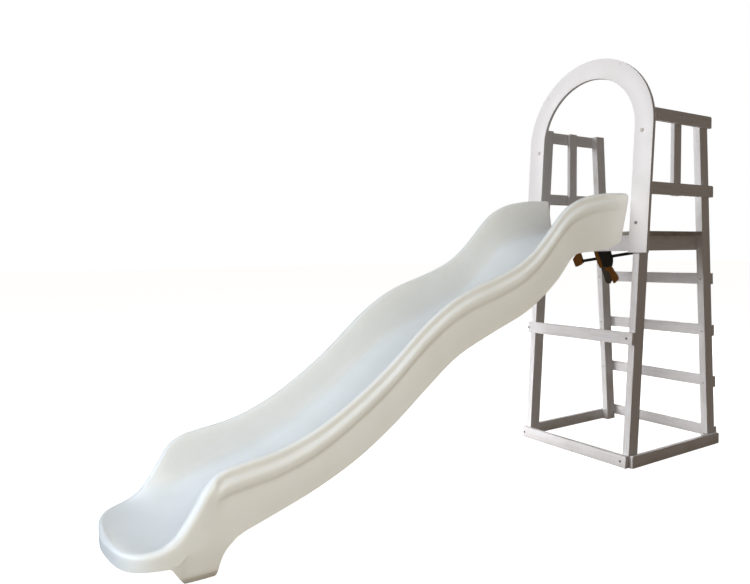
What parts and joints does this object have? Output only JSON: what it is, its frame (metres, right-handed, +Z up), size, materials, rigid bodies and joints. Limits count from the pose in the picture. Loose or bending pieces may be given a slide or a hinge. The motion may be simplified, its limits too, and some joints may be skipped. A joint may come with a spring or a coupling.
{
  "type": "platform slide",
  "caption": "White garden slide with a wavy moulded chute on a small white-painted timber play tower with ladder rungs and an arched entry.",
  "frame": {"origin": "on the ground under the middle of the whole object's bounding box", "axes": "+Z up, the slide's exit lip towards -Y, the ladder towards +Y, +X to the right for someone at the lip who faces the tower"},
  "size_m": [0.814, 3.2324, 2.1357],
  "materials": {
    "white_timber": "thin white paint over sawn softwood, satin, with worn edges",
    "white_board": "smooth white paint on a cut board, satin",
    "deck_timber": "pale weathered deck boards, matt",
    "slide_plastic": "cool white moulded polyethylene, satin sheen",
    "black_steel": "black oxide steel bar, satin",
    "black_plastic": "black moulded plastic, matt",
    "amber_plastic": "amber moulded plastic, satin"
  },
  "bodies": {
    "root": {"arch_board": "white_board", "clamp_bar": "black_steel", "clamp_fixed_jaw": "amber_plastic", "clamp_fixed_pad": "amber_plastic", "clamp_grip": "black_plastic", "clamp_housing": "black_plastic", "clamp_sliding_jaw": "amber_plastic", "clamp_sliding_pad": "amber_plastic", "clamp_trigger": "amber_plastic", "deck_back_beam": "white_timber", "deck_board_1": "deck_timber", "deck_board_2": "deck_timber", "deck_board_3": "deck_timber", "deck_board_4": "deck_timber", "deck_board_5": "deck_timber", "deck_board_6": "deck_timber", "deck_front_beam": "white_timber", "deck_middle_joist": "white_timber", "deck_side_beam_left": "white_timber", "deck_side_beam_right": "white_timber", "front_base_board": "white_timber", "front_mid_rail": "white_timber", "ladder_rung_1": "white_timber", "ladder_rung_2": "white_timber", "ladder_rung_3": "white_timber", "ladder_rung_4": "white_timber", "post_back_left": "white_timber", "post_back_right": "white_timber", "post_front_left": "white_timber", "post_front_right": "white_timber", "side_base_board_left": "white_timber", "side_base_board_right": "white_timber", "side_lower_rail_left": "white_timber", "side_lower_rail_right": "white_timber", "side_slat_left": "white_timber", "side_slat_right": "white_timber", "side_top_rail_left": "white_timber", "side_top_rail_right": "white_timber", "slide_chute": "slide_plastic"}
  },
  "joints": []
}
